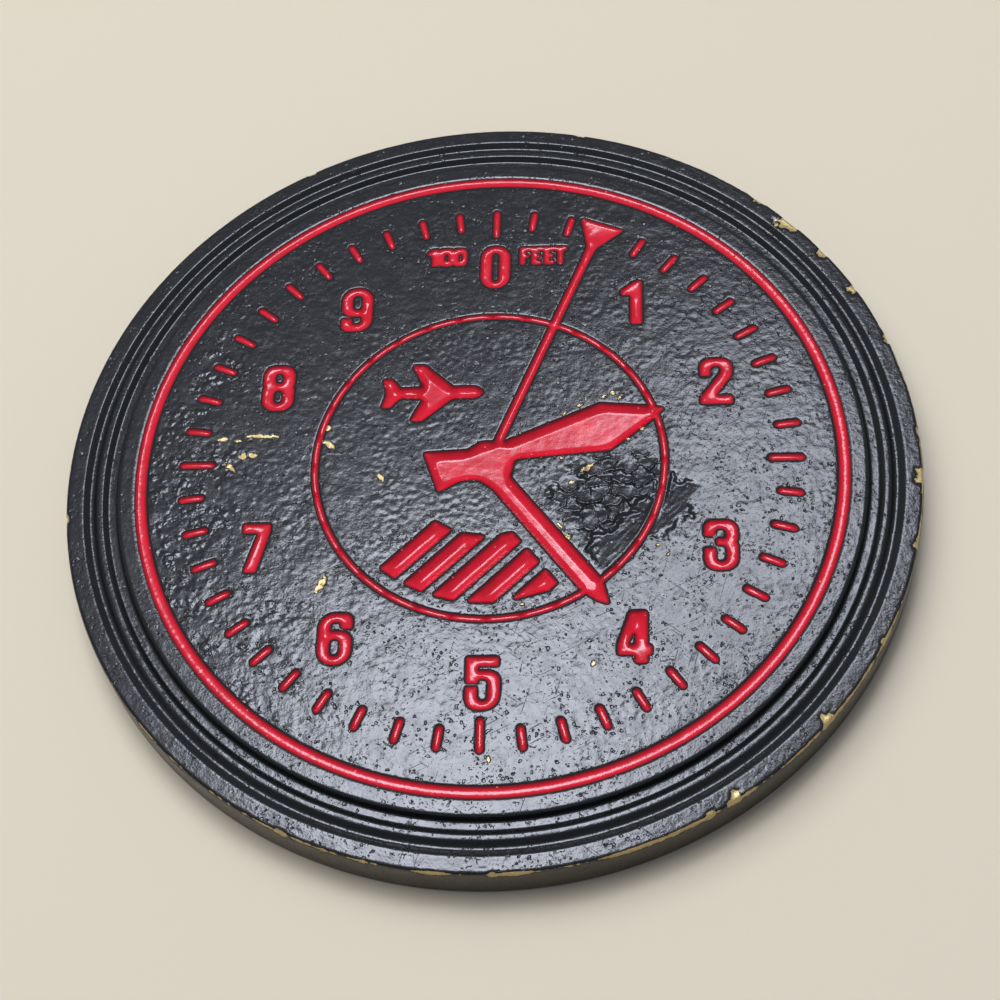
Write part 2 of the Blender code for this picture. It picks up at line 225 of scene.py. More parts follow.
# Colours, each pair mixed by noise
LACQUER_TINTS = ((0.0040, 0.0045, 0.0056, 1), (0.0080, 0.0086, 0.0098, 1))
SIDE_TINTS = ((0.022, 0.017, 0.010, 1), (0.05, 0.038, 0.02, 1))
BRASS_TINTS = ((0.72, 0.56, 0.26, 1), (0.30, 0.21, 0.08, 1))
ENAMEL_TINTS = ((0.47, 0.003, 0.016, 1), (0.56, 0.005, 0.023, 1))
# Painted shade: the enamel's colour near its walls, darkened to stand in for the shade of its
# recess.
ENAMEL_PAINTED_WALL_SHADE = (0.20, 0.0015, 0.006, 1)
DUST_TINT = (0.85, 0.35, 0.33, 1)
FLOOR_TINT = (0.56, 0.51, 0.41, 1)

# Hairline scratches: (angle in degrees, length, share of the noise's range that is a line)
SCRATCHES = ((28, 3.4, 0.030), (-37, 2.6, 0.026), (74, 4.2, 0.034))
SCRATCH_WIDTH = 0.13
SCRATCH_LEVEL = 0.79

# How far the lacquer's craters and leather are pulled out of true, and their sizes
BEND = (0.5, 0.5, 0.5)
CRATER_SIZE = 0.60
LEATHER_SIZE = 0.85

# Camera: a 36 mm frame, its place in millimetres and its angles in degrees
CAMERA_PLACE = (15.17, -95.29, 164.86)
CAMERA_ANGLES = (29.675, 4.149, 1.508)
FRAME_WIDTH = 36
LENS = 72.19

# The room's two soft windows: (direction, ((degrees away from it, strength) ...))
ROOM_TINT = (0.93, 0.98, 1.12)
WINDOWS = (
    (
        (-0.095, 0.365, 0.92),
        ((90, 0.20), (50, 0.22), (25, 0.30), (17, 0.42), (12, 0.75), (9, 1.4))
        + ((7.3, 2.8), (5.9, 7.5), (4.5, 12.5), (0, 13.5)),
    ),
    ((0.05, 0.482, 0.876), ((90, 0.0), (8, 0.05), (6, 0.7), (4.7, 3.4), (2.9, 8.6), (0, 9.4))),
)

# The softbox, in metres and watts, and half the width of the floor in metres
SOFTBOX_PLACE = (-0.25, 0.30, 0.85)
SOFTBOX_SIZE = 0.8
SOFTBOX_POWER = 9.6
FLOOR_REACH = 1.2


# Noise, the same on every run


def lattice(ix, iy, seed):
    """A fixed irregular value from 0 to 1 for each whole-number point."""
    n = (ix * 374761393 + iy * 668265263 + seed * 974634777) & 0xFFFFFFFF
    n = ((n ^ (n >> 13)) * 1274126177) & 0xFFFFFFFF
    return (n ^ (n >> 16)) / 0xFFFFFFFF


def noise(x, y, size, seed):
    """Smooth noise between about -1 and 1, with features of that size in millimetres."""
    gx, gy = x / size + seed * 0.37, y / size - seed * 0.61
    ix, iy = np.floor(gx).astype(np.int64), np.floor(gy).astype(np.int64)
    fx, fy = gx - ix, gy - iy

    def corner(dx, dy):
        angle = 2 * pi * lattice(ix + dx, iy + dy, seed)
        return np.cos(angle) * (fx - dx) + np.sin(angle) * (fy - dy)

    u, v = smooth(fx), smooth(fy)
    low = corner(0, 0) * (1 - u) + corner(1, 0) * u
    high = corner(0, 1) * (1 - u) + corner(1, 1) * u
    return 1.6 * (low * (1 - v) + high * v)


def smooth(t):
    """0 to 1 with no kink at either end."""
    t = np.clip(t, 0, 1)
    return t * t * t * (t * (6 * t - 15) + 10)


def step(low, high, value):
    """0 below low, 1 above high, eased between them."""
    return smooth((value - low) / (high - low))


# Outlines


def chained(edges):
    """Directed edges, as pairs of point numbers, joined end to end into closed loops."""
    after = dict(edges)
    loops = []
    while after:
        start = next(iter(after))
        loop, here = [], start
        while here in after:
            loop.append(here)
            here = after.pop(here)
        loops.append(loop)
    return loops


def rim_edges(faces):
    """The directed edges that only one of the faces has."""
    edges = {(a, b) for face in faces for a, b in zip(face, (*face[1:], face[0]))}
    return [(a, b) for a, b in edges if (b, a) not in edges]


def face_outlines(node, height):
    """The outlines, in millimetres, of the flat faces that a CAD node has at that height."""
    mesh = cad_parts[node].data
    corners = np.array([v.co for v in mesh.vertices]) / MM
    points, index = np.unique(np.round(corners, 3), axis=0, return_inverse=True)
    index = index.reshape(-1)
    flat = abs(points[:, 2] - height) < 0.002
    faces = [tuple(index[list(p.vertices)]) for p in mesh.polygons]
    edges = rim_edges([f for f in faces if all(flat[list(f)]) and len(set(f)) == 3])
    return [points[loop, :2] for loop in chained(edges)]


def resampled(outline, spacing):
    """Points at even spacing along a closed outline."""
    closed = np.vstack([outline, outline[:1]])
    along = np.concatenate([[0], np.cumsum(np.hypot(*np.diff(closed, axis=0).T))])
    count = max(12, round(along[-1] / spacing))
    at = np.linspace(0, along[-1], count, endpoint=False)
    return np.stack([np.interp(at, along, closed[:, k]) for k in (0, 1)], 1)


def blurred(points, spacing, reach):
    """A closed run of points at even spacing, smoothed along itself over that reach."""
    half = ceil(3 * reach / spacing)
    weights = np.exp(-0.5 * (np.arange(-half, half + 1) * spacing / reach) ** 2)
    weights /= weights.sum()
    index = (np.arange(len(points))[:, None] + np.arange(-half, half + 1)) % len(points)
    return np.einsum("k,nkd->nd", weights, points[index])


def true_circles(points):
    """The CAD's circles are many-sided, so points on one are put back on the true circle."""
    radii = np.hypot(points[:, 0], points[:, 1])
    for radius in (FACE_RADIUS, *OUTER_RING, *INNER_RING):
        on = abs(radii - radius) < 0.04
        points[on] *= (radius / radii[on])[:, None]
    return points


def smoothed(outline):
    """A CAD outline with its facets and corners rounded, at the mesh's own spacing."""
    points = blurred(resampled(outline, OUTLINE_FINE), OUTLINE_FINE, OUTLINE_BLUR)
    return resampled(true_circles(points), OUTLINE_STEP)


def turns_left(loop):
    x, y = loop[:, 0], loop[:, 1]
    return np.dot(x, np.roll(y, -1)) > np.dot(y, np.roll(x, -1))


class Outlines:
    """All the outlines together, each with lacquer on its left and enamel on its right."""

    def __init__(self, loops):
        self.points = np.vstack(loops)
        starts = np.cumsum([0, *map(len, loops)])
        self.loops = [np.arange(a, b) for a, b in zip(starts, starts[1:])]
        self.after = np.concatenate([np.roll(loop, -1) for loop in self.loops])
        self.before = np.concatenate([np.roll(loop, 1) for loop in self.loops])
        self.tree = KDTree(len(self.points))
        for number, (x, y) in enumerate(self.points):
            self.tree.insert((x, y, 0), number)
        self.tree.balance()

    def distance(self, points):
        """Each point's distance to the nearest outline."""
        nearest = np.array([self.tree.find((x, y, 0))[1] for x, y in points])
        best = np.full(len(points), np.inf)
        for other in (self.before[nearest], self.after[nearest]):
            start, run = self.points[nearest], self.points[other] - self.points[nearest]
            share = np.einsum("nd,nd->n", points - start, run) / np.einsum("nd,nd->n", run, run)
            foot = start + np.clip(share, 0, 1)[:, None] * run
            best = np.minimum(best, np.hypot(*(points - foot).T))
        return best

    def row(self, side):
        """A point beside every outline point, that far to the left of the way it runs."""
        run = self.points[self.after] - self.points[self.before]
        run /= np.hypot(*run.T)[:, None]
        row = self.points + side * np.stack([-run[:, 1], run[:, 0]], 1)
        return row[self.distance(row) > 0.93 * abs(side)]

    def in_enamel(self, points):
        """Whether each point is inside an odd number of the outlines."""
        start, end = self.points, self.points[self.after]
        odd = np.zeros(len(points), bool)
        heights, row = np.unique(points[:, 1], return_inverse=True)
        order = np.argsort(row, kind="stable")
        for height, here in zip(heights, np.split(order, np.cumsum(np.bincount(row))[:-1])):
            across = (start[:, 1] > height) != (end[:, 1] > height)
            (x0, y0), (x1, y1) = start[across].T, end[across].T
            crossings = np.sort(x0 + (height - y0) / (y1 - y0) * (x1 - x0))
            odd[here] = np.searchsorted(crossings, points[here, 0]) % 2 == 1
        return odd


# Surfaces


def orange_peel(x, y):
    """The lacquer's own unevenness: slow waves, dimples, and grain in patches."""
    waves = WAVE_HEIGHT * noise(x, y, WAVE_SIZE, 1)
    waves = waves + DIMPLE_HEIGHT * abs(noise(x, y, DIMPLE_SIZE, 2))
    patches = 0.25 + 0.75 * step(-0.4, 0.4, noise(x, y, 4.5, 4))
    calmer = 0.002 * step(-32, 18, y - x)
    return waves + (GRAIN_HEIGHT - calmer) * patches * noise(x, y, GRAIN_SIZE, 3)


def leathery(x, y):
    """How leathery the lacquer is: most along the left of the dial, in patches."""
    leftwards = step(17, 29, -x - 0.15 * y + 7 * noise(x, y, 7.0, 51))
    return leftwards * step(-0.7, 0.2, noise(x, y, 3, 52))


def crackle(x, y):
    """How strong the crackle is, and its height: plates with raised, broken borders."""
    (mx, my), (rx, ry) = CRACKLE_MIDDLE, CRACKLE_RADII
    off_middle = np.hypot((x - mx) / rx, (y - my) / ry)
    strength = 1 - step(0.75, 1.1, off_middle + 0.25 * noise(x, y, 2.4, 11))
    height = np.zeros_like(x)
    near = strength > 0
    px = x[near] + PLATE_WARP * noise(x[near], y[near], 0.9, 12)
    py = y[near] + PLATE_WARP * noise(x[near], y[near], 0.9, 13)
    first, second, north = np.full(px.shape, 9.0), np.full(px.shape, 9.0), np.zeros(px.shape)
    ix, iy = np.floor(px / CRACKLE_CELL).astype(int), np.floor(py / CRACKLE_CELL).astype(int)
    for column, row in product((-1, 0, 1), repeat=2):
        kx, ky = ix + column, iy + row
        cx = (kx + lattice(kx, ky, 14)) * CRACKLE_CELL
        cy = (ky + lattice(kx, ky, 15)) * CRACKLE_CELL
        far = np.hypot(px - cx, py - cy)
        north = np.where(far < first, py - cy, north)
        second = np.minimum(second, np.maximum(far, first))
        first = np.minimum(first, far)
    border = second - first
    broken = 0.35 + 0.65 * step(-0.4, 0.3, noise(x[near], y[near], 1.3, 16))
    ridge = 0.5 * np.exp(-(((border - 0.22) / 0.10) ** 2)) - np.exp(-((border / 0.11) ** 2))
    wrinkle = abs(noise(x[near], y[near], 0.5, 17)) - 0.3
    height[near] = broken * (CRACKLE_HEIGHT * ridge + WRINKLE_HEIGHT * wrinkle)
    height[near] = (height[near] - PLATE_LEAN * north) * strength[near]
    return strength, height


def smear_height(x, y):
    """The smear's own height: it leans down to the north-west, with a few ripples."""
    (ax, ay), (bx, by) = SMEAR_ENDS
    across = ((x - ax) * (by - ay) - (y - ay) * (bx - ax)) / np.hypot(bx - ax, by - ay)
    uneven = 0.02 * noise(x, y, 1.6, 23) + 0.008 * noise((x + y) * 0.25, y - x, 0.5, 24)
    return SMEAR_LEAN * across - SMEAR_SUNK + uneven


def smear(x, y):
    """1 on the smear that crosses the inner ring, and 0 away from it."""
    (ax, ay), (bx, by) = SMEAR_ENDS
    run = np.array([bx - ax, by - ay])
    share = np.clip(((x - ax) * run[0] + (y - ay) * run[1]) / run.dot(run), 0, 1)
    far = np.hypot(x - ax - share * run[0], y - ay - share * run[1])
    far = far + 0.75 * noise(x, y, 1.7, 21) + 0.35 * noise(x, y, 0.6, 22)
    return 1 - step(SMEAR_HALF_WIDTH - 0.8, SMEAR_HALF_WIDTH + 0.2, far)


def chip_field(x, y):
    """Above zero inside a chip, falling to -1 about half its width outside it."""
    field = np.full(x.shape, -1.0)
    ragged = 0.45 * noise(x, y, 0.42, 31) + 0.3 * noise(x, y, 0.2, 38)
    for cx, cy, half_length, half_width, angle in CHIPS:
        c, s = cos(radians(angle)), sin(radians(angle))
        u = ((x - cx) * c + (y - cy) * s) / half_length
        v = ((y - cy) * c - (x - cx) * s) / half_width
        field = np.maximum(field, 1 - np.hypot(u, v) - ragged)
    return np.clip(field, -1, 1)


def rim_chip_field(x, y, z):
    """The same on the outer edge, where chips reach inwards and down, and the edge is worn."""
    bearing = np.degrees(np.arctan2(x, y)) % 360
    inwards = DISC_RADIUS - np.hypot(x, y)
    down = np.maximum(0, TOP - 0.5 - z)
    field = np.full(x.shape, -1.0)
    ragged_ends, ragged_reach = 0.6 * noise(x, y, 0.9, 32), 0.6 * noise(x, y, 0.45, 33)
    for middle, half_length, reach in RIM_CHIPS:
        apart = (bearing - middle + 180) % 360 - 180
        u = apart / half_length + ragged_ends
        v = np.hypot(inwards / reach, down / 0.6) + ragged_reach
        field = np.maximum(field, 1 - np.hypot(u, v))
    worn = 0.45 * np.cos(np.radians(bearing - WORN_BEARING)) + 0.8 * noise(x, y, 3.5, 34)
    worn += 0.65 + 0.4 * noise(x, y, 0.5, 37) - inwards / WORN_REACH - down / WORN_DROP
    return np.clip(np.maximum(field, worn), -1, 1)


def lip(away):
    """How far the lacquer drops at that distance from a cell."""
    return LIP_DROP * (1 - np.clip(away / LIP_WIDTH, 0, 1)) ** LIP_CURVE


def lacquer_height(x, y, edge):
    """The dial face's height, where edge is the distance to the nearest cell."""
    strength, cracked = crackle(x, y)
    smooth_here = smear(x, y)
    settled = step(0.0, SETTLING, edge)
    uneven = orange_peel(x, y) * (1 - 0.6 * smooth_here) * (1 - 0.5 * strength)
    uneven += cracked * (1 - smooth_here) + smear_height(x, y) * smooth_here
    chipped = -CHIP_DEPTH * step(-0.1, 0.15, chip_field(x, y))
    return TOP - lip(edge) + settled * (uneven + chipped) - LACQUER_BELOW_TOP


def enamel_height(points, faces, edge):
    """The pools' heights: a loaded skin held at the walls, which may rest on a floor.

    Each round moves every free point to the balance of its neighbours' pulls and its load.
    """
    ends = np.unique(np.sort(np.vstack([faces[:, :2], faces[:, 1:], faces[:, ::2]]), 1), axis=0)
    pull = 1 / np.sum((points[ends[:, 0]] - points[ends[:, 1]]) ** 2, 1)
    both = np.concatenate([ends, ends[:, ::-1]])
    pulls, count = np.tile(pull, 2), len(points)
    total = np.bincount(both[:, 0], pulls, count)
    neighbours = np.bincount(both[:, 0], minlength=count)
    load = neighbours / 4 * 2 * ENAMEL_HOLLOW / ENAMEL_REACH**2
    depth = ENAMEL_HOLLOW * (1 - np.clip(1 - edge / ENAMEL_REACH, 0, 1) ** 2)
    free = (edge > 1e-6) & (total > 0)
    for _ in range(RELAXING_ROUNDS):
        drawn = np.bincount(both[:, 0], pulls * depth[both[:, 1]], count)
        level = (drawn + load) / np.maximum(total, 1e-9)
        depth = np.where(free, np.minimum(level, ENAMEL_HOLLOW), 0)
    x, y = points.T
    uneven = 0.005 * noise(x, y, 1.3, 41) + 0.002 * noise(x, y, 0.5, 42)
    return TOP - ENAMEL_EDGE - depth + uneven * step(0, 0.4, edge)


# Meshes


def triangulated(points, loops):
    """Triangles inside an odd number of the loops, and those inside an even number."""
    loops = [list(loop if turns_left(points[loop]) else loop[::-1]) for loop in loops]
    made = delaunay_2d_cdt([Vector(p) for p in points], [], loops, 1, 1e-7)
    if len(made[0]) != len(points):
        raise ValueError("two points of the mesh coincide")
    odd = np.array([len(inside) % 2 == 1 for inside in made[5]])
    faces = np.array(made[2])
    return faces[odd], faces[~odd]


def piece(name, points, faces, slot, replaced=(), attributes=()):
    """An object in metres from points in millimetres, riding on the frame."""
    mesh = bpy.data.meshes.new(name)
    mesh.from_pydata((np.asarray(points) * MM).tolist(), [], faces)
    mesh.shade_smooth()
    mesh.set_sharp_from_angle(angle=radians(50))
    for title, values in attributes:
        mesh.attributes.new(title, "FLOAT", "POINT").data.foreach_set("value", values)
    obj = bpy.data.objects.new(name, mesh)
    bpy.context.scene.collection.objects.link(obj)
    mesh.materials.append(FINISHES[slot])
    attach(obj, "root")
    if replaced:
        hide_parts(*replaced)
    return obj


def slab(points, heights, faces, floor):
    """A closed body: the given faces on top, walls below their rim, and a flat bottom.

    Gives the numbers of the points on top, then all corners, then all faces.
    """
    used, faces = np.unique(faces, return_inverse=True)
    faces = faces.reshape(-1, 3)
    top = np.column_stack([points[used], heights[used]])
    edges = rim_edges(map(tuple, faces.tolist()))
    rim = sorted(a for a, b in edges)
    number = {a: k for k, a in enumerate(rim)}
    loops = [np.array([number[a] for a in loop]) for loop in chained(edges)]
    bottom = np.column_stack([top[rim, :2], np.full(len(rim), floor)])
    flat, _ = triangulated(bottom[:, :2], loops)
    below = {a: len(top) + k for a, k in number.items()}
    walls = [(b, a, below[a], below[b]) for a, b in edges]
    caps = (flat[:, ::-1] + len(top)).tolist()
    return used, np.vstack([top, bottom]), [*faces.tolist(), *walls, *caps]


def hexagonal(spacing, low, high):
    """A grid of points in three directions, between two corners."""
    x, y = np.meshgrid(
        np.arange(low[0], high[0], spacing), np.arange(low[1], high[1], spacing * 0.866)
    )
    x += (np.arange(len(y)) % 2)[:, None] * spacing / 2
    return np.stack([x.ravel(), y.ravel()], 1)


def is_cracked(x, y):
    return (crackle(x, y)[0] > 0.02) | (smear(x, y) > 0.02)


def is_chipped(x, y):
    return chip_field(x, y) > -0.9


def fine_areas():
    """Grids for the places that need more points than the rest: chips and cracked lacquer."""
    for cx, cy, half_length, _, _ in CHIPS:
        reach = half_length + 0.3
        grid = hexagonal(CHIP_GRID, (cx - reach, cy - reach), (cx + reach, cy + reach))
        yield grid[is_chipped(*grid.T)]
    low = [middle - 1.3 * radius for middle, radius in zip(CRACKLE_MIDDLE, CRACKLE_RADII)]
    high = [middle + 1.4 * radius for middle, radius in zip(CRACKLE_MIDDLE, CRACKLE_RADII)]
    grid = hexagonal(CRACKLE_GRID, low, high)
    yield grid[is_cracked(*grid.T) & ~is_chipped(*grid.T)]


def free_points(outlines):
    """The dial mesh's points that lie on no outline."""
    rows = [outlines.row(side) for side in (*LACQUER_ROWS, *(-far for far in ENAMEL_ROWS))]
    grid = hexagonal(ENAMEL_GRID, (-WIDE_REACH, -WIDE_REACH), (WIDE_REACH, WIDE_REACH))
    enamel = grid[outlines.in_enamel(grid)]
    enamel = enamel[outlines.distance(enamel) > ENAMEL_ROWS[-1] + 0.5 * ENAMEL_GRID]
    grids = list(fine_areas())
    for spacing, inner, outer in (
        (INNER_GRID, 0, INNER_RING_MIDDLE),
        (OUTER_GRID, INNER_RING_MIDDLE, OUTER_RING[0]),
    ):
        grid = hexagonal(spacing, (-outer, -outer), (outer, outer))
        radii = np.hypot(*grid.T)
        grid = grid[(radii > inner) & (radii < outer)]
        grids.append(grid[~is_cracked(*grid.T) & ~is_chipped(*grid.T)])
    lacquer = np.vstack(grids)
    lacquer = lacquer[~outlines.in_enamel(lacquer)]
    lacquer = lacquer[outlines.distance(lacquer) > LACQUER_ROWS[-1] + 0.07]
    points = np.vstack([*rows, enamel, lacquer])
    return points[np.hypot(*points.T) < OUTER_RING[1] - 0.03]


def joined(faces):
    """The faces, sorted into groups that hang together."""
    leader = list(range(faces.max() + 1))

    def find(a):
        while leader[a] != a:
            leader[a] = leader[leader[a]]
            a = leader[a]
        return a

    for a, b, c in faces.tolist():
        leader[find(a)] = leader[find(b)] = find(c)
    group = np.array([find(a) for a in faces[:, 0].tolist()])
    return [faces[group == leader] for leader in np.unique(group)]


def node_at(low, high):
    """The CAD enamel node whose box matches this one, or None for a short tick."""
    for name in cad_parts:
        corners = np.array(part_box(name))[:, :2] / MM
        if name != "struck_disc" and np.abs(corners - (low, high)).max() < 0.25:
            return name
    return None


def padded(values, corners, rest):
    """Values for the points on top, and the same one for all the other corners."""
    return np.append(values, np.full(len(corners) - len(values), rest))


def pool(name, points, heights, faces, edge, replaced=()):
    """A body of enamel, which knows how far each point is from its walls."""
    used, corners, all_faces = slab(points, heights, faces, CELL_FLOOR)
    attributes = [("inwards", padded(edge[used], corners, 0.0))]
    piece(name, corners, all_faces, ENAMEL, replaced, attributes)


def build_dial():
    """The dial's lacquer and every pool of enamel, from one mesh over all the outlines."""
    loops = [smoothed(outline) for outline in face_outlines("struck_disc", TOP)]
    loops = [loop for loop in loops if np.hypot(*loop[0]) < OUTER_RING[1] + 0.5]
    outlines = Outlines(loops)
    points = np.vstack([outlines.points, free_points(outlines)])
    enamel, lacquer = triangulated(points, outlines.loops)
    edge = outlines.distance(points)
    x, y = points.T

    heights = lacquer_height(x, y, edge)
    chips, shore, leather = chip_field(x, y), 1 - step(0.25, 1.3, edge), leathery(x, y)
    inside = np.hypot(*points[lacquer].mean(1).T) < INNER_RING_MIDDLE
    for name, faces in (("dial_inner", lacquer[inside]), ("dial_outer", lacquer[~inside])):
        used, corners, all_faces = slab(points, heights, faces, CELL_FLOOR)
        attributes = [
            ("chip", padded(chips[used], corners, -1.0)),
            ("shore", padded(shore[used], corners, 0.0)),
            ("leathery", padded(leather[used], corners, 0.0)),
        ]
        piece(name, corners, all_faces, LACQUER, ["struck_disc"], attributes)

    heights = enamel_height(points, enamel, edge)
    short_ticks = []
    for faces in joined(enamel):
        corners = points[np.unique(faces)]
        node = node_at(corners.min(0), corners.max(0))
        if node:
            pool(f"enamel_{node}", points, heights, faces, edge, [node])
        else:
            short_ticks.append(faces)
    pool("enamel_short_ticks", points, heights, np.vstack(short_ticks), edge)


def rounded(corners):
    """A section through the corners, rounded, with rows closer together where it turns."""
    along = np.concatenate([[0], np.cumsum(np.hypot(*np.diff(corners, axis=0).T))])
    at = np.arange(0, along[-1], SECTION_STEP)
    path = np.stack([np.interp(at, along, corners[:, k]) for k in (0, 1)], 1)
    half = 12
    weights = np.exp(-0.5 * (np.arange(-half, half + 1) * SECTION_STEP / SECTION_BLUR) ** 2)
    weights /= weights.sum()
    long = np.vstack([np.repeat(path[:1], half, 0), path, np.repeat(path[-1:], half, 0)])
    path = np.stack([np.convolve(long[:, k], weights, "valid") for k in (0, 1)], 1)
    run = np.diff(path, axis=0)
    turned = np.abs(np.diff(np.unwrap(np.arctan2(run[:, 1], run[:, 0]))))
    cost = np.concatenate([[0, SECTION_STEP], SECTION_STEP + TURN_COST * turned])
    at = np.arange(0, cost.sum(), RIM_ROW)
    return np.stack([np.interp(at, np.cumsum(cost), path[:, k]) for k in (0, 1)], 1)


def rim_section():
    """The turned section, (radius, height), from the outer ring's wall out, down and under."""
    inner = OUTER_RING[1]
    side_top, side_middle = (DISC_RADIUS, 0.85), (DISC_RADIUS, 1.6)
    spread = rounded(np.array([(inner, 0), *RIM_PROFILE, side_top, side_middle]))
    drop = lip(spread[:, 0] - inner)
    face = np.column_stack([spread[:, 0], TOP - spread[:, 1] - drop])
    side = [(DISC_RADIUS, z) for z in np.linspace(face[-1, 1], SIDE_ROUND, SIDE_ROWS)[1:]]
    foot = [
        (DISC_RADIUS - SIDE_ROUND * (1 - cos(a)), SIDE_ROUND * (1 - sin(a)))
        for a in np.radians(FOOT_TURNS)
    ]
    back = [(r, 0) for r in BACK_RADII]
    core = np.array([(CORE_RADIUS, CELL_FLOOR), (inner, CELL_FLOOR)])
    return np.array([*face, *side, *foot, *back]), core


def turned_faces(rows):
    """Quads between rings of points, and a fan to one more point at each end."""
    here = np.arange(RIM_SEGMENTS)
    there = np.roll(here, -1)
    faces = []
    for k in range(rows - 1):
        a, b = k * RIM_SEGMENTS, (k + 1) * RIM_SEGMENTS
        faces += np.stack([a + here, a + there, b + there, b + here], 1).tolist()
    middle, last = rows * RIM_SEGMENTS, (rows - 1) * RIM_SEGMENTS
    faces += np.stack([there, here, here * 0 + middle], 1).tolist()
    faces += np.stack([last + here, last + there, here * 0 + middle + 1], 1).tolist()
    return faces


def build_rim():
    """Rim, side and back in one, with the solid core that the dial's pieces stand on."""
    section, core = rim_section()
    turns = np.linspace(0, 2 * pi, RIM_SEGMENTS, endpoint=False)
    path = np.vstack([core, section])
    radii, z = np.repeat(path[:, :1], RIM_SEGMENTS, 1), np.repeat(path[:, 1:], RIM_SEGMENTS, 1)
    x, y = radii * np.sin(turns), radii * np.cos(turns)
    lathed = np.arange(len(path))[:, None] >= len(core)
    chips = np.where(lathed, rim_chip_field(x, y, z), -1)
    back_chips = np.clip(2.5 * noise(x, y, 2.5, 35) - 2.1, -1, 1)
    chips = np.where(z < TOP - 2.2, back_chips, chips)
    chipped = step(-0.1, 0.2, chips)

    upward = lathed & (z > TOP - 1.0)
    settled = step(0.0, SETTLING, radii - OUTER_RING[1]) * upward
    z = z + settled * (0.5 * orange_peel(x, y) - LACQUER_BELOW_TOP)
    z = z - RIM_CHIP_DEPTH * upward * chipped

    outer = step(DISC_RADIUS - 0.3, DISC_RADIUS, radii) * lathed * (z > SIDE_ROUND)
    streaks = noise(turns * DISC_RADIUS + 0 * z, z * 0.25, 0.6, 36)
    pulled = outer * (SIDE_PULL + SIDE_STREAKS * streaks + RIM_CHIP_DEPTH * chipped)
    side = step(DISC_RADIUS - 0.12, DISC_RADIUS - 0.02, radii) * lathed
    radii = radii - pulled
    points = np.stack([radii * np.sin(turns), radii * np.cos(turns), z], 2).reshape(-1, 3)
    points = np.vstack([points, (0, 0, CELL_FLOOR), (0, 0, 0)])
    attributes = [
        ("chip", padded(chips.ravel(), points, -1.0)),
        ("side", padded(side.ravel(), points, 0.0)),
    ]
    faces = turned_faces(len(path))
    piece("disc_rim_and_back", points, faces, LACQUER, ["struck_disc"], attributes)


# Materials


class Shader:
    """A material's nodes: each call adds one and gives back its first output."""

    def __init__(self, name):
        self.material = bpy.data.materials.new(name)
        self.material.use_nodes = True
        self.tree = self.material.node_tree
        self.principled = self.tree.nodes["Principled BSDF"]
        coordinates = self.tree.nodes.new("ShaderNodeTexCoord").outputs["Object"]
        self.mm = self("Mapping", Vector=coordinates, Scale=(1 / MM, 1 / MM, 1 / MM))

    def feed(self, sockets, values):
        """Each value goes into its socket: a link from a socket, or a plain value."""
        for socket, value in zip(sockets, values):
            if isinstance(value, bpy.types.NodeSocket):
                self.tree.links.new(value, socket)
            else:
                socket.default_value = value

    def __call__(self, kind, settings=(), output=0, **inputs):
        node = self.tree.nodes.new("ShaderNode" + kind)
        for title, value in dict(settings).items():
            setattr(node, title, value)
        self.feed([node.inputs[title] for title in inputs], inputs.values())
        return node.outputs[output]

    def attribute(self, name):
        return self("Attribute", {"attribute_name": name}, output=2)

    def math(self, operation, a, b=0.0):
        result = self("Math", {"operation": operation})
        self.feed(result.node.inputs, (a, b))
        return result

    def moved(self, by, amounts):
        """Places in millimetres, moved by those amounts of another vector."""
        result = self("VectorMath", {"operation": "MULTIPLY_ADD"})
        self.feed(result.node.inputs, (by, amounts, self.mm))
        return result

    def noise(self, size, detail=2.0, roughness=0.5):
        """Noise with features of that size in millimetres."""
        scale = {"Scale": 1 / size, "Detail": detail, "Roughness": roughness}
        return self("TexNoise", Vector=self.mm, **scale)

    def ramp(self, value, low, high, to=(0.0, 1.0)):
        """The value's range from low to high, eased, mapped to another range."""
        ends = {"From Min": low, "From Max": high, "To Min": to[0], "To Max": to[1]}
        return self("MapRange", {"interpolation_type": "SMOOTHSTEP"}, Value=value, **ends)

    def mix(self, factor, a, b):
        node = self.tree.nodes.new("ShaderNodeMix")
        node.data_type = "RGBA"
        self.feed((node.inputs[0], node.inputs[6], node.inputs[7]), (factor, a, b))
        return node.outputs[2]

    def bumps(self, *layers):
        """Layers of (height, millimetres), each on top of the one before."""
        normal = None
        for height, distance in layers:
            inputs = {"Height": height, "Distance": distance * MM, "Strength": 1.0}
            if normal:
                inputs["Normal"] = normal
            normal = self("Bump", **inputs)
        return normal

    def done(self, **inputs):
        """The finished material, with these inputs of its main shader."""
        sockets = [self.principled.inputs[title.replace("_", " ")] for title in inputs]
        self.feed(sockets, inputs.values())
        return self.material


def scratches(s):
    """Hairlines in three directions, in worn patches."""
    lines = None
    for turn, length, share in SCRATCHES:
        along = s(
            "Mapping",
            {"vector_type": "TEXTURE"},
            Vector=s.mm,
            Rotation=(0, 0, radians(turn)),
            Scale=(length, SCRATCH_WIDTH, 1),
        )
        field = s("TexNoise", Vector=along, Scale=1.0, Detail=0.0)
        line = s.ramp(field, SCRATCH_LEVEL, SCRATCH_LEVEL + share)
        lines = line if lines is None else s.math("MAXIMUM", lines, line)
    worn_patches = s.ramp(s.noise(7.0, 2), 0.45, 0.6)
    return s.math("MULTIPLY", lines, worn_patches)


